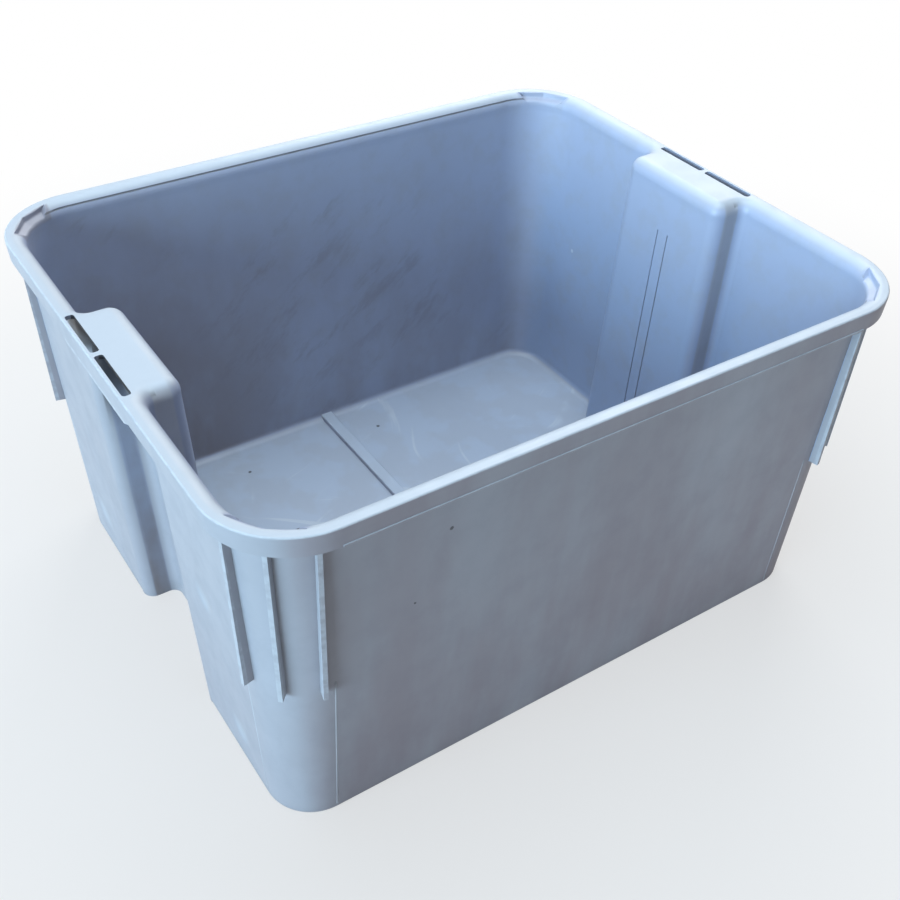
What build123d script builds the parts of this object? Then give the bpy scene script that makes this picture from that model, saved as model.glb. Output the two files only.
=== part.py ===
# Nesting harvest tub: one plastic moulding, divided where its features meet.
# Millimetres. X runs along the long walls, Y from front to back, Z up.
# The origin is on the ground, under the middle of the tub.

import os
from math import cos, degrees, radians, sin

from build123d import *

# Overall size
rim_length = 600.0  # left to right, over the rim skirt
rim_width = 500.0  # front to back, over the rim skirt
tub_height = 320.0

# Walls and floor
wall = 3.5
floor_thickness = 3.5
wall_lean = 14.0  # how far a wall leans out from the ground to the foot of the rim
base_corner_radius = 40.0  # outside corner at the ground
base_edge_radius = 2.5  # outside edge between wall and underside
floor_cove_radius = 8.0  # inside edge between wall and floor
floor_rib_width = 13.0
floor_rib_height = 5.0
floor_rib_edge_radius = 1.5

# Rim
rim_drop = 17.0  # from the top down to the foot of the rim and the lower edge of its skirt
rim_overhang = 13.0  # from the wall's outer face out to the skirt's outer face
rim_thickness = 3.5
rim_flare_radius = 12.0  # inside edge between wall and rim, and of the handle plates
rim_edge_radius = 1.5  # outside edge between rim and skirt
skirt_thickness = 3.0
skirt_lean = 1.0  # how far the skirt's lower edge lies inside its upper edge
bead_radius = 1.0  # bead along the lower edge of the long skirts
groove_radius = 0.7  # groove along the flare of the long rims
groove_angle = 56.0  # place of the groove on the flare, from the rim's top
seat_start = 18.0  # degrees from each wall to the step inside a corner of the rim
seat_end_lean = 5.0  # degrees by which its ends close in at each level further down
seat_reach = 9.0  # from the wall's inner face out to the corners of the step
seat_margin = 0.4  # by which the sloping part overshoots the wall's inner face
seat_wall_depth = 5.0  # upright part of the step
seat_wall_lean = 1.5
seat_ledge_drop = 3.2  # sloping part of the step, down to where it has run out of the wall
seat_edge_radius = 1.0  # edge between rim and step
seat_bend_radius = 2.0  # between the upright and the sloping part
seat_foot_radius = 3.0  # between the sloping part and the wall
seat_floor_depth = 10.0  # from the top down to the underside of the rim at a step

# Hand pockets, one in each end
pocket_depth = 30.0
pocket_base_width = 128.0  # at the ground
pocket_top_width = 118.0  # at the top
pocket_mouth_radius = 11.0
pocket_margin = 1.5  # flat wall kept beside the mouth's rounding
pocket_bend_margin = 0.5  # excess of a pocket's bend inside the tub over the flare above it
strip_width = 12.0  # strip down the middle of each pocket's inner face, between two grooves
strip_groove_width = 1.4
strip_groove_depth = 1.2
strip_top = 267.0
slot_length = 56.0
slot_width = 7.0
slot_web = 5.0  # between the two slots of one handle
slot_corner_radius = 2.5
grip_length = 116.0
grip_drop = 5.0  # how far the grip hangs below the rest of the skirt
grip_ramp = 10.0

# Stop ribs under the rim, three at each corner
fin_thickness = 3.5
fin_bottom = 153.0
fin_bottom_depth = 8.5
fin_top_depth = 6.0
fin_spread = 33.0  # degrees between neighbouring fins

# Levels and radii that follow. Radii are measured from the upright axis of each corner,
# and a straight wall has the same section at the same distance from the line of those axes.
root_z = tub_height - rim_drop
under_rim_z = tub_height - rim_thickness
under_seat_z = tub_height - seat_floor_depth
seat_bend_z = tub_height - seat_wall_depth
root_radius = base_corner_radius + wall_lean
rim_radius = root_radius + rim_overhang
foot_radius = base_corner_radius - wall - floor_cove_radius
flare_foot_radius = root_radius - wall
seat_radius = flare_foot_radius + seat_reach
axis_x = rim_length / 2 - rim_radius
axis_y = rim_width / 2 - rim_radius
pocket_zone = pocket_base_width / 2 + pocket_mouth_radius + pocket_margin
pocket_bend_radius = rim_flare_radius + pocket_bend_margin

# Each corner and the signs of its place, in the order of their quarter turns
corners = {"back_right": (1, 1), "back_left": (-1, 1), "front_left": (-1, -1), "front_right": (1, -1)}

# Each side and the sign of its place
ends = {"right": 1, "left": -1}
long_sides = {"back": 1, "front": -1}


def corner_start(corner):
    """Direction in degrees where a corner's quarter turn starts."""
    return 90 * list(corners).index(corner)


def end_direction(end):
    """Outward direction of an end in degrees."""
    return 90 - 90 * ends[end]


def wall_radius(z):
    """Radius of the wall's outer face at a height."""
    return base_corner_radius + wall_lean * z / root_z


def section_plane(x, y, direction):
    """Upright plane at a point: its X runs outward in the direction given in degrees, its Y up."""
    outward = (cos(radians(direction)), sin(radians(direction)), 0)
    across = (sin(radians(direction)), -cos(radians(direction)), 0)
    return Plane(origin=(x, y, 0), x_dir=outward, z_dir=across)


def level_plane(z, end):
    """Level plane at a height, with its X running outward through one end of the tub."""
    return Plane(origin=(0, 0, z), x_dir=(ends[end], 0, 0), z_dir=(0, 0, 1))


def plan_side(end, side):
    """Sign of the front or rear side on the level planes of one end."""
    return ends[end] if side == "rear" else -ends[end]


def outline(points):
    """Closed face through points given as (x, y, corner radius)."""
    with BuildLine() as edge:
        FilletPolyline(*[(x, y) for x, y, _ in points], radius=[r for _, _, r in points], close=True)
    make_face(edge.edges())


def wall_section():
    """Wall with its coved foot, from the ground to the foot of the rim."""
    outline([
        (base_corner_radius, 0, base_edge_radius),
        (root_radius, root_z, 0),
        (flare_foot_radius, root_z, 0),
        (wall_radius(floor_thickness) - wall, floor_thickness, floor_cove_radius),
        (foot_radius, floor_thickness, 0),
        (foot_radius, 0, 0),
    ])


def flared_rim_section():
    """Rim that rounds over from the wall's inner face."""
    outline([
        (flare_foot_radius, root_z, 0),
        (flare_foot_radius, tub_height, rim_flare_radius),
        (rim_radius, tub_height, rim_edge_radius),
        (rim_radius, under_rim_z, 0),
        (root_radius, under_rim_z, rim_flare_radius - wall),
        (root_radius, root_z, 0),
    ])


def grooved_rim_section():
    """Flared rim with a fine groove along the flare."""
    flared_rim_section()
    groove_x = flare_foot_radius + rim_flare_radius * (1 - sin(radians(groove_angle)))
    groove_y = tub_height - rim_flare_radius * (1 - cos(radians(groove_angle)))
    with Locations((groove_x, groove_y)):
        Circle(groove_radius, mode=Mode.SUBTRACT)


def seat_rim_section():
    """Rim that is solid out to its skirt, for the step to be cut into."""
    outline([
        (flare_foot_radius, root_z, 0),
        (flare_foot_radius, tub_height, rim_flare_radius),
        (rim_radius, tub_height, rim_edge_radius),
        (rim_radius, under_rim_z, 0),
        (rim_radius - skirt_thickness, under_rim_z, 0),
        (rim_radius - skirt_thickness, under_seat_z, 0),
        (root_radius, under_seat_z, 0),
        (root_radius, root_z, 0),
    ])


def skirt_section():
    """Skirt that hangs from the rim's outer edge."""
    outline([
        (rim_radius - skirt_thickness, under_rim_z, 0),
        (rim_radius, under_rim_z, 0),
        (rim_radius - skirt_lean, root_z, 0),
        (rim_radius - skirt_thickness, root_z, 0),
    ])


def beaded_skirt_section():
    """Skirt with a bead along its lower edge."""
    skirt_section()
    with Locations((rim_radius - bead_radius, root_z + bead_radius)):
        Circle(bead_radius)


def straight_run(section, x, y, direction, length):
    """Straight stretch of wall, rim or skirt that starts on a corner's axis."""
    with BuildPart() as run:
        with BuildSketch(section_plane(x, y, direction)):
            section()
        extrude(amount=length)
    return run


def corner_run(corner, *stretches):
    """Quarter turn of wall, rim or skirt, made of stretches given as (section, degrees)."""
    side_x, side_y = corners[corner]
    start = corner_start(corner)
    turn_axis = Axis((side_x * axis_x, side_y * axis_y, 0), (0, 0, 1))
    with BuildPart() as run:
        for section, turn in stretches:
            with BuildSketch(section_plane(side_x * axis_x, side_y * axis_y, start)):
                section()
            revolve(axis=turn_axis, revolution_arc=turn)
            start += turn
    return run


def seat_plan(corner, z, reach, start):
    """Plan of a corner's step at a height: two sides that reach equally far at the middle and the ends."""
    side_x, side_y = corners[corner]
    turns = [radians(corner_start(corner) + turn) for turn in (start, 45, 90 - start)]
    with BuildSketch(Plane(origin=(side_x * axis_x, side_y * axis_y, z))) as plan:
        with BuildLine():
            Polyline((0, 0), *[(reach * cos(turn), reach * sin(turn)) for turn in turns], close=True)
        make_face()
    return plan.sketch.face()


def corner_rim(corner):
    """Corner of the rim, with the two-sided step where the corner of a nested tub comes to rest."""
    side_x, side_y = corners[corner]
    flare_turn = seat_start - degrees(wall / rim_radius)
    stretches = [
        (grooved_rim_section, flare_turn),
        (seat_rim_section, 90 - 2 * flare_turn),
        (flared_rim_section, flare_turn),
    ]
    long_wall_first = side_x * side_y < 0
    ring = corner_run(corner, *(stretches if long_wall_first else reversed(stretches)))
    top = seat_plan(corner, tub_height, seat_radius, seat_start)
    bend = seat_plan(corner, seat_bend_z, seat_radius - seat_wall_lean, seat_start + seat_end_lean)
    foot = seat_plan(
        corner, seat_bend_z - seat_ledge_drop, flare_foot_radius - seat_margin, seat_start + 2 * seat_end_lean
    )
    with BuildPart() as rim:
        add(ring.part)
        loft([bend, top], ruled=True, mode=Mode.SUBTRACT)
        loft([foot, bend], ruled=True, mode=Mode.SUBTRACT)
        curves = rim.edges().filter_by(GeomType.BSPLINE)
        low_edges = curves.filter_by_position(Axis.Z, root_z, seat_bend_z, inclusive=(False, False))
        fillet(low_edges.sort_by(SortBy.LENGTH)[-2:], seat_foot_radius)
        bend_edges = rim.edges().filter_by_position(Axis.Z, seat_bend_z, seat_bend_z)
        fillet(bend_edges.sort_by(SortBy.LENGTH)[-2:], seat_bend_radius)
        curves = rim.edges().filter_by(GeomType.BSPLINE)
        top_edges = curves.filter_by_position(Axis.Z, seat_bend_z, tub_height, inclusive=(False, False))
        fillet(top_edges.sort_by(SortBy.LENGTH)[-2:], seat_edge_radius)
    return rim


def end_run(section, end, side):
    """Straight stretch at one end, between the hand pocket and a corner."""
    sign = ends[end]
    start_y = axis_y if plan_side(end, side) > 0 else -pocket_zone
    return straight_run(section, sign * axis_x, sign * start_y, end_direction(end), axis_y - pocket_zone)


def pocket_faces(z):
    """Outward place of the end wall's outer face and the pocket panel's, and half the pocket's width."""
    end_face = axis_x + wall_radius(z)
    half_width = (pocket_base_width + (pocket_top_width - pocket_base_width) * z / tub_height) / 2
    return end_face, end_face - pocket_depth, half_width


def pocket_void(z, skin, reach):
    """Plan of the pocket out to a reach: its open space, or with a skin, the space and its walls."""
    end_face, panel_face, half = pocket_faces(z)
    mouth = pocket_mouth_radius - skin
    corner = pocket_bend_radius - wall + skin
    near_side = [
        (reach, pocket_zone, 0),
        (end_face - skin, pocket_zone, 0),
        (end_face - skin, half + skin, mouth),
        (panel_face - skin, half + skin, corner),
    ]
    outline(near_side + [(x, -y, r) for x, y, r in reversed(near_side)])


def cheek_section(z, side):
    """Plan of one side wall of a pocket, from the flat end wall round to the inner panel."""
    end_face, panel_face, half = pocket_faces(z)
    points = [
        (end_face, pocket_zone, 0),
        (end_face, half, pocket_mouth_radius),
        (panel_face, half, pocket_bend_radius - wall),
        (panel_face, half - pocket_bend_radius, 0),
        (panel_face - wall, half - pocket_bend_radius, 0),
        (panel_face - wall, half + wall, pocket_bend_radius),
        (end_face - wall, half + wall, pocket_mouth_radius - wall),
        (end_face - wall, pocket_zone, 0),
    ]
    outline([(x, side * y, r) for x, y, r in points])


def panel_section(z):
    """Plan of a pocket's inner panel, between its two cheeks."""
    _, panel_face, half = pocket_faces(z)
    with Locations((panel_face - wall / 2, 0)):
        Rectangle(wall, 2 * (half - pocket_bend_radius))


def pocket_loft(section, end, low_z, high_z, *details):
    """Upright pocket piece between two heights, from the same plan taken at each."""
    with BuildPart() as piece:
        for z in (low_z, high_z):
            with BuildSketch(level_plane(z, end)):
                section(z, *details)
        loft(ruled=True)
    return piece


def pocket_cap(end, skin, height, edge_radius):
    """Top of a pocket's open space, or with a skin, of the space and its walls, rounded towards the tub."""
    outward = Axis((0, 0, 0), level_plane(0, end).x_dir)
    side_limit = pocket_zone - pocket_margin
    with BuildPart() as cap:
        with BuildSketch(level_plane(root_z, end)):
            pocket_void(root_z, skin, rim_length / 2)
        extrude(amount=height)
        edges = cap.faces().sort_by(Axis.Z)[-1].edges()
        edges = edges.filter_by_position(Axis.Y, -side_limit, side_limit).sort_by(outward)
        fillet(edges[:-1], edge_radius)
    return cap


def handle_plate(end):
    """Plate that closes a pocket's top, with its rounded inner edge and the two slots."""
    outer_edge = rim_length / 2
    slot_row = outer_edge - skirt_thickness - slot_width / 2
    outward = Axis((0, 0, 0), level_plane(0, end).x_dir)
    body = pocket_cap(end, wall, rim_drop, rim_flare_radius)
    space = pocket_cap(end, 0, rim_drop - rim_thickness, rim_flare_radius - rim_thickness)
    with BuildPart() as plate:
        add(body.part)
        fillet(plate.edges().filter_by(Axis.Y).group_by(Axis.Z)[-1].sort_by(outward)[-1], rim_edge_radius)
        add(space.part, mode=Mode.SUBTRACT)
        with BuildSketch(level_plane(tub_height, end)):
            with GridLocations(0, slot_length + slot_web, 1, 2):
                with Locations((slot_row, 0)):
                    RectangleRounded(slot_width, slot_length, slot_corner_radius)
        extrude(amount=-2 * rim_thickness, mode=Mode.SUBTRACT)
    return plate


def end_skirt(end):
    """Skirt of one end, with the deeper grip in front of the hand pocket."""
    sign = ends[end]
    half = grip_length / 2
    with BuildPart() as skirt:
        with BuildSketch(section_plane(sign * axis_x, sign * axis_y, end_direction(end))):
            skirt_section()
        extrude(amount=2 * axis_y)
        inner_face = sign * (rim_length / 2 - skirt_thickness)
        with BuildSketch(Plane(origin=(inner_face, 0, root_z), x_dir=(0, 1, 0), z_dir=(1, 0, 0))):
            with BuildLine():
                Polyline(
                    (-half - grip_ramp, 0), (-half, -grip_drop), (half, -grip_drop),
                    (half + grip_ramp, 0), close=True,
                )
            make_face()
        extrude(amount=sign * (skirt_thickness - skirt_lean))
    return skirt


def strip_slab(end, width):
    """Slab set into the inner face of a pocket's panel, as deep as the grooves beside the strip."""
    _, low_face, _ = pocket_faces(floor_thickness)
    _, high_face, _ = pocket_faces(strip_top)
    low_x = low_face - wall
    high_x = high_face - wall
    with BuildPart() as slab:
        with BuildSketch(section_plane(0, 0, end_direction(end))):
            outline([
                (low_x, floor_thickness, 0),
                (low_x + strip_groove_depth, floor_thickness, 0),
                (high_x + strip_groove_depth, strip_top, 0),
                (high_x, strip_top, 0),
            ])
        extrude(amount=width / 2, both=True)
    return slab


def pocket_panel(end):
    """Inner panel of a pocket, with the shallow bed of its strip."""
    plain = pocket_loft(panel_section, end, 0, root_z)
    bed = strip_slab(end, strip_width + 2 * strip_groove_width)
    with BuildPart() as panel:
        add(plain.part)
        add(bed.part, mode=Mode.SUBTRACT)
    return panel


def corner_fins(corner, post, rim):
    """Three stop ribs between a corner post and the underside of its rim."""
    side_x, side_y = corners[corner]
    with BuildPart() as fins:
        for turn in (45 - fin_spread, 45, 45 + fin_spread):
            direction = corner_start(corner) + turn
            with BuildSketch(section_plane(side_x * axis_x, side_y * axis_y, direction)):
                outline([
                    (wall_radius(fin_bottom) - wall / 2, fin_bottom, 0),
                    (wall_radius(fin_bottom) + fin_bottom_depth, fin_bottom, 0),
                    (root_radius + fin_top_depth, under_seat_z, 0),
                    (root_radius - wall / 2, under_seat_z, 0),
                ])
            extrude(amount=fin_thickness / 2, both=True)
        add(post.part, mode=Mode.SUBTRACT)
        add(rim.part, mode=Mode.SUBTRACT)
    return fins


pieces = {}

# Long walls, rims and skirts
for name, sign in long_sides.items():
    place = (-sign * axis_x, sign * axis_y, 90 * sign, 2 * axis_x)
    pieces[f"{name}_wall"] = straight_run(wall_section, *place)
    pieces[f"{name}_rim"] = straight_run(grooved_rim_section, *place)
    pieces[f"{name}_skirt"] = straight_run(beaded_skirt_section, *place)

# Corners
for name in corners:
    post = corner_run(name, (wall_section, 90))
    rim = corner_rim(name)
    pieces[f"{name}_post"] = post
    pieces[f"{name}_rim"] = rim
    pieces[f"{name}_skirt"] = corner_run(name, (skirt_section, 90))
    pieces[f"{name}_ribs"] = corner_fins(name, post, rim)

# Ends with their hand pockets
for end in ends:
    for side in ("front", "rear"):
        pieces[f"{end}_{side}_flank"] = end_run(wall_section, end, side)
        pieces[f"{end}_{side}_rim"] = end_run(flared_rim_section, end, side)
        pieces[f"{end}_{side}_cheek"] = pocket_loft(cheek_section, end, 0, root_z, plan_side(end, side))
    pieces[f"{end}_pocket_panel"] = pocket_panel(end)
    pieces[f"{end}_pocket_strip"] = strip_slab(end, strip_width)
    pieces[f"{end}_handle_plate"] = handle_plate(end)
    pieces[f"{end}_skirt"] = end_skirt(end)

# Floor, notched round the pockets
with BuildPart() as floor_panel:
    with BuildSketch():
        RectangleRounded(2 * (axis_x + foot_radius), 2 * (axis_y + foot_radius), foot_radius)
        Rectangle(2 * (axis_x + base_corner_radius), 2 * pocket_zone)
    extrude(amount=floor_thickness)
    for end in ends:
        pocket = pocket_loft(pocket_void, end, 0, root_z, wall, rim_length / 2)
        add(pocket.part, mode=Mode.SUBTRACT)
pieces["floor_panel"] = floor_panel

with BuildPart() as floor_rib:
    with BuildSketch(Plane.XY.offset(floor_thickness)):
        Rectangle(floor_rib_width, 2 * (axis_y + base_corner_radius) - wall)
    extrude(amount=floor_rib_height)
    fillet(floor_rib.faces().sort_by(Axis.Z)[-1].edges().filter_by(Axis.Y), floor_rib_edge_radius)
    add(pieces["front_wall"].part, mode=Mode.SUBTRACT)
    add(pieces["back_wall"].part, mode=Mode.SUBTRACT)
pieces["floor_rib"] = floor_rib

os.makedirs("parts", exist_ok=True)
for name, piece in pieces.items():
    piece.part.label = name
    export_step(piece.part, f"parts/{name}.step")
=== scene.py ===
import math

import bmesh
import bpy
from mathutils import Matrix, Vector


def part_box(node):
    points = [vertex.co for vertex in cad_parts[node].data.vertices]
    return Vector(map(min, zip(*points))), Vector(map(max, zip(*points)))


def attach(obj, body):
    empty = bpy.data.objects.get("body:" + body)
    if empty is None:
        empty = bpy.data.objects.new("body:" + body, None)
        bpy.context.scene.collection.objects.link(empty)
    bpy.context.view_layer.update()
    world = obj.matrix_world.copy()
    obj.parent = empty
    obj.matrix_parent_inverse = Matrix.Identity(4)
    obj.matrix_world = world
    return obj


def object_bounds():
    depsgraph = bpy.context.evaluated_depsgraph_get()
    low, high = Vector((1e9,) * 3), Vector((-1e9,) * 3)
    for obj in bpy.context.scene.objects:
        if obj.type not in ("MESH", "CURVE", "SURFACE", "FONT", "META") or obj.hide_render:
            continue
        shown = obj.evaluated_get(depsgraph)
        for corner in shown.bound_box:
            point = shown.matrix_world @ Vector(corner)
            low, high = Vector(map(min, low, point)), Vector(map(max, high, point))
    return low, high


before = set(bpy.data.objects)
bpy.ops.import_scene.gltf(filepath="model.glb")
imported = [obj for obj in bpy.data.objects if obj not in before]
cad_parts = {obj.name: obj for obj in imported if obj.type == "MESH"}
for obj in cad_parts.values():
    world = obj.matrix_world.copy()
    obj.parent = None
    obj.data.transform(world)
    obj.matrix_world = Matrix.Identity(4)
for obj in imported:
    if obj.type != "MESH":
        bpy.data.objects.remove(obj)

cad_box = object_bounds()
scene = bpy.context.scene

# Sizes of the tub in metres
# Radii are measured from the upright axis of each corner, and a straight wall has the same
# section at the same distance from the line of those axes.
TOP = cad_box[1].z
RIM_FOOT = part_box("back_wall")[1].z
AXIS_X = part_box("back_wall")[1].x
AXIS_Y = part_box("right_rear_flank")[1].y
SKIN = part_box("floor_panel")[1].z
WALL_BASE = 0.040
WALL_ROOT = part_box("back_wall")[1].y - AXIS_Y
WALL_LEAN = (WALL_ROOT - WALL_BASE) / RIM_FOOT
FLARE_RADIUS = 0.012
FLARE_FOOT = TOP - FLARE_RADIUS
GROOVE_ANGLE = math.radians(56)
GROOVE = (
    WALL_ROOT - SKIN + FLARE_RADIUS * (1 - math.sin(GROOVE_ANGLE)),
    FLARE_FOOT + FLARE_RADIUS * math.cos(GROOVE_ANGLE),
    0,
)

# Hand pockets, with places at the ground measured from the middle of the tub
END_FACE = AXIS_X + WALL_BASE
POCKET_DEPTH = 0.030
POCKET_SIDE = 0.064
POCKET_DRAFT = 0.0156
POCKET_MARGIN = 0.0005
BEND_RADIUS = FLARE_RADIUS + POCKET_MARGIN
BEND_X = END_FACE - POCKET_DEPTH - SKIN + BEND_RADIUS
BEND_Y = POCKET_SIDE + SKIN - BEND_RADIUS
MOUTH_RADIUS = 0.011
MOUTH = (END_FACE - MOUTH_RADIUS, POCKET_SIDE + MOUTH_RADIUS, 0)

# Camera, set by the lines of the rim, base and corners
VIEW_AZIMUTH = math.radians(-34.841)
VIEW_ELEVATION = math.radians(39.032)
VIEW_ROLL = math.radians(2.243)
VIEW_DISTANCE = 1.165036
VIEW_RIGHT = 0.016698
VIEW_UP = 0.083712
FOCAL_PIXELS = 1170.099
IMAGE_PIXELS = 900
SENSOR = 36.0
NEAR_CLIP = 0.01


def make_camera():
    back = Vector((
        math.sin(VIEW_AZIMUTH) * math.cos(VIEW_ELEVATION),
        -math.cos(VIEW_AZIMUTH) * math.cos(VIEW_ELEVATION),
        math.sin(VIEW_ELEVATION),
    ))
    level = Vector((0, 0, 1)).cross(back).normalized()
    upright = back.cross(level)
    right = math.cos(VIEW_ROLL) * level + math.sin(VIEW_ROLL) * upright
    up = math.cos(VIEW_ROLL) * upright - math.sin(VIEW_ROLL) * level
    place = back * VIEW_DISTANCE + right * VIEW_RIGHT + up * VIEW_UP
    data = bpy.data.cameras.new("camera")
    data.sensor_width = SENSOR
    data.lens = FOCAL_PIXELS / IMAGE_PIXELS * SENSOR
    data.clip_start = NEAR_CLIP
    camera = bpy.data.objects.new("camera", data)
    camera.matrix_world = Matrix((
        (right.x, up.x, back.x, place.x),
        (right.y, up.y, back.y, place.y),
        (right.z, up.z, back.z, place.z),
        (0, 0, 0, 1),
    ))
    scene.collection.objects.link(camera)
    scene.camera = camera


make_camera()


# Studio light
def area_light(name, place, target, size, power, colour):
    data = bpy.data.lights.new(name, "AREA")
    data.shape = "RECTANGLE"
    data.size, data.size_y = size
    data.energy = power
    data.color = colour
    light = bpy.data.objects.new(name, data)
    place, target = Vector(place), Vector(target)
    turn = (place - target).to_track_quat("Z", "Y").to_matrix().to_4x4()
    light.matrix_world = Matrix.Translation(place) @ turn
    scene.collection.objects.link(light)


area_light(
    "left_box", place=(-7.8, -1.8, 1.9), target=(0, 0, 0.2),
    size=(6.5, 3.4), power=880, colour=(0.58, 0.82, 1.0),
)
area_light(
    "top_box", place=(-0.2, 0.1, 1.9), target=(0, 0, 0.2),
    size=(1.5, 1.5), power=30, colour=(0.80, 0.92, 1.0),
)
area_light(
    "back_box", place=(1.25, 1.3, 1.6), target=(0, 0, 0.25),
    size=(1.5, 1.1), power=27, colour=(1.0, 1.0, 1.0),
)
area_light(
    "front_box", place=(0.3, -2.2, 1.3), target=(0, 0.1, 0.2),
    size=(1.6, 0.8), power=1.5, colour=(1.0, 0.88, 0.90),
)

# Places of a mix node's colour sockets
MIX_UNDER, MIX_OVER, MIX_RESULT = 6, 7, 2


class Shade:
    """Adds shader nodes to one tree. A value may be a number, a colour or another node's output."""

    def __init__(self, tree):
        self.tree = tree

    def add(self, kind, **settings):
        node = self.tree.nodes.new("ShaderNode" + kind)
        for name, value in settings.items():
            setattr(node, name, value)
        return node

    def feed(self, socket, value):
        if isinstance(value, bpy.types.NodeSocket):
            self.tree.links.new(value, socket)
        elif socket.type == "RGBA":
            socket.default_value = (*value, 1)
        else:
            socket.default_value = value

    def math(self, operation, *values):
        """Works on numbers, and keeps a sum between 0 and 1."""
        node = self.add("Math", operation=operation, use_clamp=operation == "ADD")
        for socket, value in zip(node.inputs, values):
            self.feed(socket, value)
        return node.outputs["Value"]

    def product(self, first, *others):
        for other in others:
            first = self.math("MULTIPLY", first, other)
        return first

    def beyond(self, value, limit):
        """How far a value lies past a limit, or 0 before it."""
        return self.math("MAXIMUM", self.math("SUBTRACT", value, limit), 0)

    def ease(self, value, low, high, start=0.0, end=1.0):
        """Goes smoothly from start to end while the value goes from low to high."""
        node = self.add("MapRange", interpolation_type="SMOOTHSTEP")
        self.feed(node.inputs["Value"], value)
        self.feed(node.inputs["From Min"], low)
        self.feed(node.inputs["From Max"], high)
        self.feed(node.inputs["To Min"], start)
        self.feed(node.inputs["To Max"], end)
        return node.outputs["Result"]

    def vector(self, operation, *values):
        node = self.add("VectorMath", operation=operation)
        for socket, value in zip(node.inputs, values):
            self.feed(socket, value)
        return node.outputs

    def distance(self, first, second=(0, 0, 0)):
        return self.vector("DISTANCE", first, second)["Value"]

    def point(self, first, second):
        node = self.add("CombineXYZ")
        self.feed(node.inputs["X"], first)
        self.feed(node.inputs["Y"], second)
        return node.outputs["Vector"]

    def parts(self, vector):
        node = self.add("SeparateXYZ")
        self.feed(node.inputs["Vector"], vector)
        return node.outputs

    def stretch(self, place, scale, turn=(0, 0, 0)):
        """Draws a pattern out by a scale, along axes turned by angles in degrees."""
        node = self.add("Mapping", vector_type="TEXTURE")
        self.feed(node.inputs["Vector"], place)
        self.feed(node.inputs["Rotation"], [math.radians(angle) for angle in turn])
        self.feed(node.inputs["Scale"], scale)
        return node.outputs["Vector"]

    def noise(self, place, scale, detail=2.0, roughness=0.5, output="Fac"):
        node = self.add("TexNoise")
        self.feed(node.inputs["Vector"], place)
        self.feed(node.inputs["Scale"], scale)
        self.feed(node.inputs["Detail"], detail)
        self.feed(node.inputs["Roughness"], roughness)
        return node.outputs[output]

    def coat(self, under, colour, mask, strength=1.0):
        """Lays a colour over another where a mask says, at a strength of up to 1."""
        node = self.add("Mix", data_type="RGBA")
        self.feed(node.inputs[0], mask if strength == 1.0 else self.product(mask, strength))
        self.feed(node.inputs[MIX_UNDER], under)
        self.feed(node.inputs[MIX_OVER], colour)
        return node.outputs[MIX_RESULT]

    def bump(self, height, strength, distance, under=None):
        node = self.add("Bump")
        self.feed(node.inputs["Height"], height)
        self.feed(node.inputs["Strength"], strength)
        self.feed(node.inputs["Distance"], distance)
        if under:
            self.feed(node.inputs["Normal"], under)
        return node.outputs["Normal"]

    def sees_backdrop(self):
        rays = self.add("LightPath").outputs
        seen = self.math("MAXIMUM", rays["Is Camera Ray"], rays["Is Glossy Ray"])
        return self.math("MAXIMUM", seen, rays["Is Transmission Ray"])

    def show(self, output, amount, first, second):
        """Mixes two shaders by an amount and shows them at an output node."""
        node = self.add("MixShader")
        self.feed(node.inputs["Fac"], amount)
        self.feed(node.inputs[1], first)
        self.feed(node.inputs[2], second)
        self.feed(self.tree.nodes[output].inputs["Surface"], node.outputs["Shader"])


def new_material(name):
    item = bpy.data.materials.new(name)
    item.use_nodes = True
    return item, Shade(item.node_tree), item.node_tree.nodes["Principled BSDF"]


# World, white where it is seen
AMBIENT_COLOUR, AMBIENT_STRENGTH = (0.95, 0.94, 1.0), 0.070
WHITE = (1, 1, 1)


def make_world():
    world = bpy.data.worlds.new("studio")
    world.use_nodes = True
    shade = Shade(world.node_tree)
    ambient = world.node_tree.nodes["Background"]
    shade.feed(ambient.inputs["Color"], AMBIENT_COLOUR)
    shade.feed(ambient.inputs["Strength"], AMBIENT_STRENGTH)
    white = shade.add("Background")
    shade.feed(white.inputs["Color"], WHITE)
    shade.show(
        "World Output",
        shade.sees_backdrop(),
        ambient.outputs["Background"],
        white.outputs["Background"],
    )
    scene.world = world


make_world()

# Worn grey plastic, with masks for where a point lies and which way its surface faces
# A pair of values is where a mask starts to show and where it is full: a place in metres,
# or a share for the way that a surface faces.
FACING_UP, FACING_SIDEWAYS, FACING_OUT = (0.55, 0.95), (0.85, 0.45), (-0.03, 0.03)
RIM_BAND, FLOOR_BAND = (0.288, 0.300), (0.024, 0.014)
plastic, shade, shader = new_material("grey_plastic")
spot = shade.add("TexCoord").outputs
place, facing = spot["Object"], spot["Normal"]
along, across, height = shade.parts(place)
face_x, face_y, face_z = shade.parts(facing)
from_end = shade.math("ABSOLUTE", along)
from_side = shade.math("ABSOLUTE", across)
tilt = shade.math("ABSOLUTE", face_z)
upward = shade.ease(face_z, *FACING_UP)
wall = shade.ease(tilt, *FACING_SIDEWAYS)
level_place = shade.vector("MULTIPLY", place, (1, 1, 0))["Vector"]
outward = shade.ease(shade.vector("DOT_PRODUCT", level_place, facing)["Value"], *FACING_OUT)
rim_zone = shade.ease(height, *RIM_BAND)
bed = shade.product(upward, shade.ease(height, *FLOOR_BAND))

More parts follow.
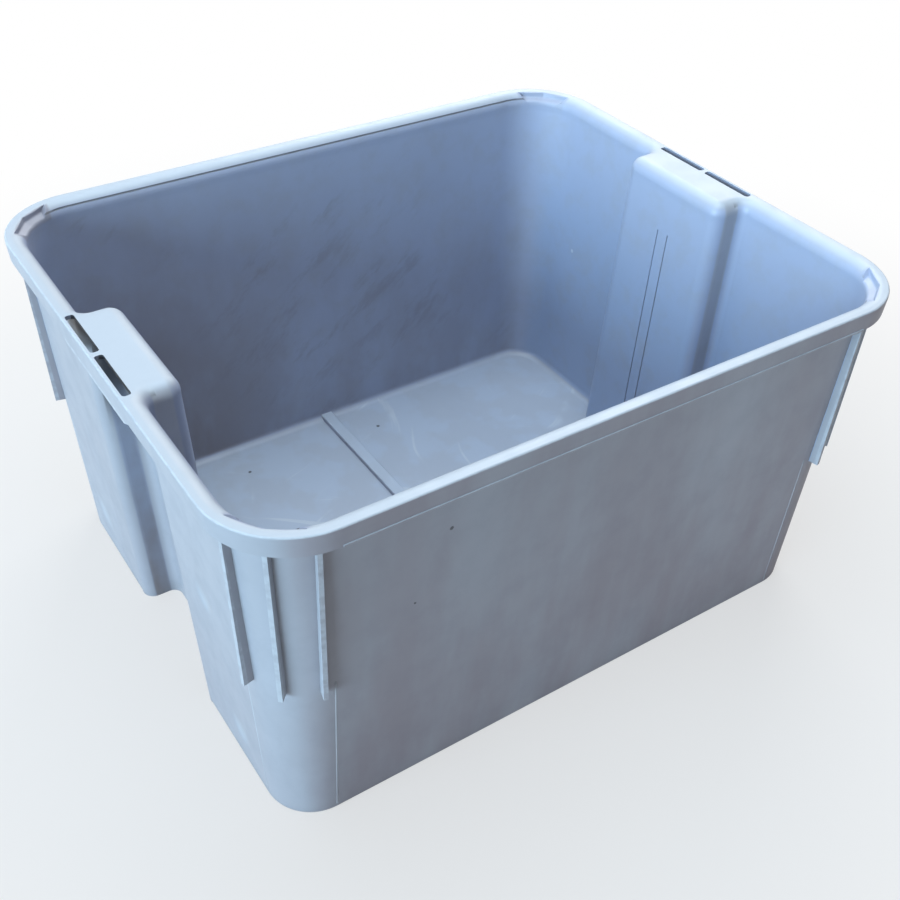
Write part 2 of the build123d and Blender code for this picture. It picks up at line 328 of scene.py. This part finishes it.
# How far a point stands out from the wall, with the stop ribs counted as outside
STOP_RIB_FOOT, STOP_RIB_TOP = (0.0003, 0.0008), (0.303, 0.300)
past_x = shade.math("SUBTRACT", from_end, AXIS_X)
past_y = shade.math("SUBTRACT", from_side, AXIS_Y)
radius = shade.distance(shade.point(shade.beyond(from_end, AXIS_X), shade.beyond(from_side, AXIS_Y)))
drawn = shade.product(height, WALL_LEAN)
proud = shade.math("SUBTRACT", shade.math("SUBTRACT", radius, drawn), WALL_BASE)
stop_ribs = shade.product(shade.ease(proud, *STOP_RIB_FOOT), shade.ease(height, *STOP_RIB_TOP))
outside = shade.product(wall, shade.math("MAXIMUM", outward, stop_ribs))
inside = shade.math("SUBTRACT", wall, outside)

# Stepped seat at each corner of the rim
SEAT_ENDS, SEAT_EDGE = (0.015, 0.018), (0.0600, 0.0592)
SEAT_TOP, SEAT_FOOT = (0.3198, 0.3190), (0.3060, 0.3110)
seat = shade.product(
    shade.ease(shade.math("MINIMUM", past_x, past_y), *SEAT_ENDS),
    shade.ease(radius, *SEAT_EDGE),
    shade.ease(height, *SEAT_TOP),
    shade.ease(height, *SEAT_FOOT),
)
exposed = shade.math("SUBTRACT", 1.0, seat)

# Resin, with painted bluish shade inside, on the seats and low on the end walls, and rim tops bleached
# and lighter as painted light from above
RESIN, PALE_RESIN, MOTTLED_RESIN = (0.40, 0.425, 0.475), (0.43, 0.46, 0.515), (0.345, 0.365, 0.41)
INSIDE_SHADE_RESIN, END_WALL_SHADE_RESIN, BLEACHED_TOP_LIT_RESIN = (0.37, 0.435, 0.60), (0.30, 0.42, 0.63), (0.505, 0.59, 0.68)
FACING_END, END_WALL_BAND = (0.65, 0.95), (0.30, 0.16)
cloud = shade.noise(place, scale=4.5, detail=3)
mottle = shade.noise(place, scale=38, detail=4, roughness=0.6)
inside_shade = shade.math("MAXIMUM", inside, seat)
end_wall_shade = shade.product(
    inside,
    shade.ease(shade.math("ABSOLUTE", face_x), *FACING_END),
    shade.ease(height, *END_WALL_BAND),
)
colour = shade.coat(RESIN, PALE_RESIN, shade.ease(cloud, 0.35, 0.65))
# Painted bluish shade on the inside walls and the seats
colour = shade.coat(colour, INSIDE_SHADE_RESIN, inside_shade, strength=0.8)
# Painted shade, darker and bluer low on the inside of the end walls
colour = shade.coat(colour, END_WALL_SHADE_RESIN, end_wall_shade, strength=0.5)
colour = shade.coat(colour, MOTTLED_RESIN, shade.ease(mottle, 0.42, 0.72, end=0.30))
# Rim tops bleached, and lighter and bluer on upward faces as painted light from above
colour = shade.coat(colour, BLEACHED_TOP_LIT_RESIN, shade.product(upward, rim_zone, exposed), strength=0.5)

# Streaky rain film outside, heavier towards the ground, and painted shade on the outside of the long
# walls and their skirts
FILM_AND_SHADE_COLOUR, SIDE_SHADE, SKIRT_SHADE = (0.28, 0.225, 0.245), 0.42, 0.18
FACING_SIDE, SIDE_BAND, FILM_HEIGHTS = (0.75, 0.98), (0.10, 0.16), (0.34, 0.0)
streaks = shade.noise(shade.stretch(place, scale=(1, 1, 4)), scale=13, detail=4, roughness=0.6)
long_wall = shade.product(
    shade.ease(shade.math("ABSOLUTE", face_y), *FACING_SIDE),
    shade.ease(from_side, *SIDE_BAND),
)
film_and_shade = shade.ease(height, *FILM_HEIGHTS, start=0.10, end=0.40)
# Painted shade on the outside of the long walls and their skirts
film_and_shade = shade.math("ADD", film_and_shade, shade.product(long_wall, SIDE_SHADE))
film_and_shade = shade.math("ADD", film_and_shade, shade.product(long_wall, rim_zone, SKIRT_SHADE))
film_and_shade = shade.product(outside, shade.ease(streaks, 0.30, 0.70, start=0.55), film_and_shade)
colour = shade.coat(colour, FILM_AND_SHADE_COLOUR, film_and_shade)

# Soil and painted shade inside, darker towards the bottom and the left: on the long walls, the left end
# and the seats
SOIL_AND_SHADE_COLOUR = (0.215, 0.19, 0.20)
LEFT_END, SOIL_AND_SHADE_HEIGHTS, SOIL_AND_SHADE_LENGTH = (-0.19, -0.235), (0.31, 0.02), (-0.23, 0.0)
SEAT_SHADE_LENGTH, SEAT_SHADE_WIDTH = (0.20, -0.20), (-0.10, 0.10)
clumps = shade.noise(shade.stretch(place, scale=(1, 1, 2)), scale=12, detail=4, roughness=0.6)
# Soil, with painted shade darker towards the bottom and the left end
soil_and_shade = shade.product(
    inside,
    shade.math("MAXIMUM", long_wall, shade.ease(along, *LEFT_END)),
    shade.ease(clumps, 0.30, 0.62, start=0.45),
    shade.ease(height, *SOIL_AND_SHADE_HEIGHTS, start=0.15, end=0.70),
    shade.ease(along, *SOIL_AND_SHADE_LENGTH, start=1.6, end=0.65),
)
# Painted shade on the seats, darkest at the back left corner
back_left_seat_shade = shade.product(
    seat,
    shade.ease(along, *SEAT_SHADE_LENGTH, start=0.15, end=0.55),
    shade.ease(across, *SEAT_SHADE_WIDTH, start=0.3),
)
colour = shade.coat(colour, SOIL_AND_SHADE_COLOUR, shade.math("MAXIMUM", soil_and_shade, back_left_seat_shade))

# Slanting rubbed marks on the inside of the long walls
RUB_COLOUR, RUB_SLANT = (0.20, 0.19, 0.20), -42
slanted = shade.stretch(place, scale=(3, 1, 1), turn=(0, RUB_SLANT, 0))
strokes = shade.noise(slanted, scale=45, detail=5, roughness=0.68)
patches = shade.ease(shade.noise(place, scale=7), 0.44, 0.60)
rubs = shade.product(inside, long_wall, patches, shade.ease(strokes, 0.50, 0.66))
colour = shade.coat(colour, RUB_COLOUR, rubs, strength=0.30)

# Floor lighter and bluer, partly worn and partly painted light from above, with curved scuffs at three
# angles in degrees and three scales
WORN_SKYLIT_FLOOR, SCUFF_COLOUR = (0.455, 0.525, 0.635), (0.60, 0.65, 0.70)
SCUFF_BEND = (0.03, 0.03, 0)
SCUFFS = ((24, 90), (-38, 120), (71, 105))
bends = shade.noise(place, scale=9, output="Color")
curved = shade.vector("MULTIPLY_ADD", bends, SCUFF_BEND, place)["Vector"]
scuffs = 0.0
for angle, scale in SCUFFS:
    strokes = shade.noise(shade.stretch(curved, scale=(16, 1, 1), turn=(0, 0, angle)), scale)
    scuffs = shade.math("MAXIMUM", scuffs, shade.ease(strokes, 0.66, 0.73))
floor_patches = shade.ease(shade.noise(place, scale=20, detail=3), 0.42, 0.60)
scuffs = shade.product(scuffs, floor_patches, bed)
# Floor lighter and bluer: wear, and painted light from above
colour = shade.coat(colour, WORN_SKYLIT_FLOOR, shade.product(bed, shade.ease(floor_patches, 0, 1, start=0.55, end=0.9)))
colour = shade.coat(colour, SCUFF_COLOUR, scuffs, strength=0.5)

# Painted shade in the hollows, found by occlusion and mottled, less of it in the rim, by the floor's
# rib and beside the pockets' strips
HOLLOW_SHADE_COLOUR, HOLLOW_SHADE_REACH = (0.20, 0.20, 0.21), 0.025
FLOOR_RIB, POCKET_STRIP, NEAR_FLOOR = (0.015, 0.04), (0.008, 0.012), (0.03, 0.015)
hollow = shade.add("AmbientOcclusion", samples=8)
shade.feed(hollow.inputs["Distance"], HOLLOW_SHADE_REACH)
beside_strip = shade.ease(from_side, *POCKET_STRIP, start=0.3)
hollow_shade = shade.product(
    shade.ease(hollow.outputs["AO"], 0.75, 0.35),
    shade.ease(rim_zone, 0, 1, start=1.0, end=0.15),
    shade.ease(from_end, *FLOOR_RIB, start=0.4),
    shade.math("MAXIMUM", beside_strip, shade.ease(height, *NEAR_FLOOR)),
    shade.ease(mottle, 0.3, 0.7, start=0.2, end=0.55),
)
# Painted shade in the hollows
colour = shade.coat(colour, HOLLOW_SHADE_COLOUR, hollow_shade)

# Dark line in the groove of the long rims, as painted shade
GROOVE_SHADE_COLOUR = (0.10, 0.10, 0.11)
GROOVE_WIDTH, GROOVE_SIDE = (0.0011, 0.0007), (0.200, 0.210)
groove_shade = shade.product(
    shade.ease(shade.distance(shade.point(radius, height), GROOVE), *GROOVE_WIDTH),
    shade.ease(from_side, *GROOVE_SIDE),
)
colour = shade.coat(colour, GROOVE_SHADE_COLOUR, groove_shade, strength=0.75)

# Painted shade, nearly black, in the pockets, under the handle plates and behind the end skirts
POCKET_SHADE_COLOUR = (0.035, 0.035, 0.04)
SKIRT_GAP = (0.2940, 0.2925)
PLATE_SKIN, PLATE_HEIGHTS = (0.0106, 0.0096), (0.20, 0.26)
MOUTH_SKIN, MOUTH_DEPTH, MOUTH_SIDE = (0.0088, 0.0098), (0.2595, 0.2605), (0.0760, 0.0750)
END_SKIN, GRIP_WIDTH, GRIP_HEIGHTS = (0.2697, 0.2702), (0.105, 0.085), (0.276, 0.290)
from_wall = shade.math("SUBTRACT", from_end, drawn)
widened = shade.math("MULTIPLY_ADD", height, POCKET_DRAFT, from_side)
from_bend = shade.distance(shade.point(shade.beyond(BEND_X, from_wall), shade.beyond(widened, BEND_Y)))
plate = shade.point(shade.beyond(from_bend, POCKET_MARGIN), shade.beyond(height, FLARE_FOOT))
under_plate = shade.product(
    shade.ease(shade.distance(plate), *PLATE_SKIN),
    shade.ease(from_end, *SKIRT_GAP),
    shade.ease(height, *PLATE_HEIGHTS),
)
mouth = shade.product(
    shade.ease(shade.distance(shade.point(from_wall, widened), MOUTH), *MOUTH_SKIN),
    shade.ease(from_wall, *MOUTH_DEPTH),
    shade.ease(widened, *MOUTH_SIDE),
)
under_skirt = shade.product(
    outside,
    shade.ease(from_side, *GRIP_WIDTH),
    shade.math("MAXIMUM", mouth, shade.ease(from_wall, *END_SKIN)),
    shade.ease(from_end, *SKIRT_GAP),
    shade.ease(height, *GRIP_HEIGHTS),
)
pocket_shade = shade.math("MAXIMUM", under_plate, under_skirt)
colour = shade.coat(colour, POCKET_SHADE_COLOUR, pocket_shade, strength=0.93)

# Painted highlight on the top of the floor's rib
RIDGE_HIGHLIGHT_COLOUR = (0.51, 0.58, 0.68)
RIDGE_WIDTH, RIDGE_HEIGHTS = (0.0075, 0.0065), (0.0065, 0.0080)
ridge_highlight = shade.product(bed, shade.ease(from_end, *RIDGE_WIDTH), shade.ease(height, *RIDGE_HEIGHTS))
colour = shade.coat(colour, RIDGE_HIGHLIGHT_COLOUR, ridge_highlight, strength=0.5)

# Wear, with painted highlights, on rounded edges, on the edges of the stop ribs and on the lines beside
# the posts
WEAR_AND_HIGHLIGHT_COLOUR = (0.62, 0.665, 0.71)
RIM_EDGE, NEAR_WALL = (0.057, 0.062), (-0.02, -0.01)
RIB_EDGE, RIB_EDGE_TOP = (0.0045, 0.0055), (0.302, 0.300)
LINE_EDGE, LINE_TOP, LINE_FOOT = (0.0012, 0.0004), (0.160, 0.140), (0.010, 0.080)
rounded = shade.product(
    shade.ease(tilt, 0.22, 0.45),
    shade.ease(tilt, 0.97, 0.85),
    shade.ease(proud, *NEAR_WALL),
    shade.math("MAXIMUM", shade.product(rim_zone, shade.ease(radius, *RIM_EDGE)), outward),
    exposed,
)
rib_edges = shade.product(shade.ease(proud, *RIB_EDGE), shade.ease(height, *RIB_EDGE_TOP))
chips = shade.ease(shade.noise(place, scale=130, detail=3), 0.35, 0.62, start=0.25)
beside_post = shade.math("MINIMUM", shade.math("ABSOLUTE", past_x), shade.math("ABSOLUTE", past_y))
lines = shade.product(
    outside,
    shade.ease(beside_post, *LINE_EDGE),
    shade.ease(height, *LINE_TOP),
    shade.ease(height, *LINE_FOOT, start=0.3),
)
wear_and_highlights = shade.product(shade.math("MAXIMUM", rounded, rib_edges), chips)
# Wear and painted highlights on the edges
colour = shade.coat(colour, WEAR_AND_HIGHLIGHT_COLOUR, shade.math("MAXIMUM", wear_and_highlights, lines), strength=0.42)

# Dark specks, scattered and in chosen places, and a light nick
SPECK_COLOUR, NICK_COLOUR = (0.06, 0.06, 0.065), (0.66, 0.72, 0.78)
CELLS_PER_METRE = 22
SPECKS = (
    ((-0.1143, 0.1770, 0.0035), 0.0017),
    ((0.0402, 0.1751, 0.0035), 0.0018),
    ((0.2799, 0.2239, 0.2250), 0.0015),
    ((-0.1433, -0.2352, 0.2641), 0.0016),
    ((-0.1700, -0.2324, 0.2039), 0.0011),
)
SPECK_RIM, SPECK_CORE = 1.3, 0.7
NICK, NICK_SIZE = (0.2771, 0.1555, 0.1643), (0.0024, 0.0012)
RAGGEDNESS = 0.0016
ragged = shade.math("MULTIPLY_ADD", shade.noise(place, scale=600), RAGGEDNESS, -RAGGEDNESS / 2)
cells = shade.add("TexVoronoi")
shade.feed(cells.inputs["Vector"], place)
shade.feed(cells.inputs["Scale"], CELLS_PER_METRE)
chance = shade.add("SeparateColor")
shade.feed(chance.inputs["Color"], cells.outputs["Color"])
specks = shade.product(
    shade.ease(cells.outputs["Distance"], 0.032, 0.020),
    shade.ease(chance.outputs["Red"], 0.80, 0.82),
)
for centre, size in SPECKS:
    near = shade.math("ADD", shade.distance(place, centre), ragged)
    specks = shade.math("MAXIMUM", specks, shade.ease(near, size * SPECK_RIM, size * SPECK_CORE))
nick = shade.ease(shade.math("ADD", shade.distance(place, NICK), ragged), *NICK_SIZE)
colour = shade.coat(colour, SPECK_COLOUR, specks, strength=0.88)
colour = shade.coat(colour, NICK_COLOUR, nick, strength=0.6)

# Dents in the left end
DENT_COLOUR, DENT_CORE = (0.55, 0.61, 0.67), 0.2
DENTS = (
    ((-0.2752, 0.1470, 0.0460), 0.020),
    ((-0.2807, -0.1180, 0.1670), 0.016),
    ((-0.2748, -0.1450, 0.0380), 0.018),
)
dents = 0.0
for centre, size in DENTS:
    dent = shade.ease(shade.distance(place, centre), size, size * DENT_CORE)
    dents = shade.math("MAXIMUM", dents, dent)
colour = shade.coat(colour, DENT_COLOUR, dents, strength=0.3)
shade.feed(shader.inputs["Base Color"], colour)

# Satin surface with slight waves, dents, grain and scuffs
FILM_ROUGHNESS, SCUFF_ROUGHNESS = 0.30, 0.15
satin = shade.ease(mottle, 0.3, 0.7, start=0.38, end=0.50)
satin = shade.math("ADD", satin, shade.product(film_and_shade, FILM_ROUGHNESS))
satin = shade.math("ADD", satin, shade.product(scuffs, SCUFF_ROUGHNESS))
shade.feed(shader.inputs["Roughness"], satin)
waves = shade.bump(shade.noise(place, scale=9, detail=1), strength=0.25, distance=0.003)
pits = shade.bump(shade.math("SUBTRACT", 1.0, dents), strength=0.8, distance=0.002, under=waves)
grain = shade.bump(shade.noise(place, scale=1300), strength=0.10, distance=0.0003, under=pits)
marks = shade.bump(scuffs, strength=0.25, distance=0.0002, under=grain)
shade.feed(shader.inputs["Normal"], marks)

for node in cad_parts.values():
    node.data.materials.clear()
    node.data.materials.append(plastic)

# Mould witness lines where the corner posts meet the walls
# A level is a height and the share of the line's rise there, from end to end.
# A point of the section is a share of half the width and of the rise, from side to side.
LINE_WIDTH, LINE_RISE = 0.0018, 0.00025
LINE_LEVELS = ((0.005, 0.2), (0.020, 1.0), (0.140, 1.0), (0.158, 0.2))
LINE_SECTION = ((-1, -0.6), (-0.6, 0.5), (0, 1), (0.6, 0.5), (1, -0.6))


def witness_line(data, side_x, side_y, out):
    along_wall = Vector((0, 0, 1)).cross(out)
    rows = []
    for level, share in LINE_LEVELS:
        wall_face = WALL_BASE + WALL_LEAN * level
        foot = Vector((side_x * AXIS_X, side_y * AXIS_Y, level)) + out * wall_face
        row = []
        for step, rise in LINE_SECTION:
            aside = along_wall * (step * LINE_WIDTH / 2)
            row.append(data.verts.new(foot + aside + out * (rise * share * LINE_RISE)))
        rows.append(row)
    for low, high in zip(rows, rows[1:]):
        for index in range(len(low)):
            after = (index + 1) % len(low)
            data.faces.new((low[index], low[after], high[after], high[index]))
    data.faces.new(rows[0])
    data.faces.new(rows[-1])


def witness_lines(corner, side_x, side_y):
    data = bmesh.new()
    witness_line(data, side_x, side_y, Vector((0, side_y, 0)))
    witness_line(data, side_x, side_y, Vector((side_x, 0, 0)))
    bmesh.ops.recalc_face_normals(data, faces=data.faces)
    for face in data.faces:
        face.smooth = True
    mesh = bpy.data.meshes.new(corner + "_witness_lines")
    data.to_mesh(mesh)
    data.free()
    mesh.materials.append(plastic)
    piece = bpy.data.objects.new(mesh.name, mesh)
    scene.collection.objects.link(piece)
    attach(piece, "root")


for end, side_x in (("left", -1), ("right", 1)):
    for side, side_y in (("front", -1), ("back", 1)):
        witness_lines(side + "_" + end, side_x, side_y)

# Pale floor that keeps the shadow near the tub and is white further off
FLOOR_COLOUR, FLOOR_ROUGHNESS = (0.6, 0.6, 0.6), 0.9
FLOOR_REACH = 6.0
WHITE_BAND, LEAST_WHITE = (0.40, 1.0), 0.6


def make_floor():
    material, shade, shader = new_material("studio_floor")
    shade.feed(shader.inputs["Base Color"], FLOOR_COLOUR)
    shade.feed(shader.inputs["Roughness"], FLOOR_ROUGHNESS)
    place = shade.add("NewGeometry").outputs["Position"]
    far = shade.ease(shade.distance(place), *WHITE_BAND, start=LEAST_WHITE)
    white = shade.add("Emission")
    amount = shade.product(far, shade.sees_backdrop())
    shade.show("Material Output", amount, shader.outputs["BSDF"], white.outputs["Emission"])
    mesh = bpy.data.meshes.new("studio_floor")
    signs = ((-1, -1), (1, -1), (1, 1), (-1, 1))
    mesh.from_pydata([(x * FLOOR_REACH, y * FLOOR_REACH, 0) for x, y in signs], [], [(0, 1, 2, 3)])
    mesh.materials.append(material)
    floor = bpy.data.objects.new("studio_floor", mesh)
    scene.collection.objects.link(floor)


make_floor()

scene.view_settings.view_transform = "Standard"
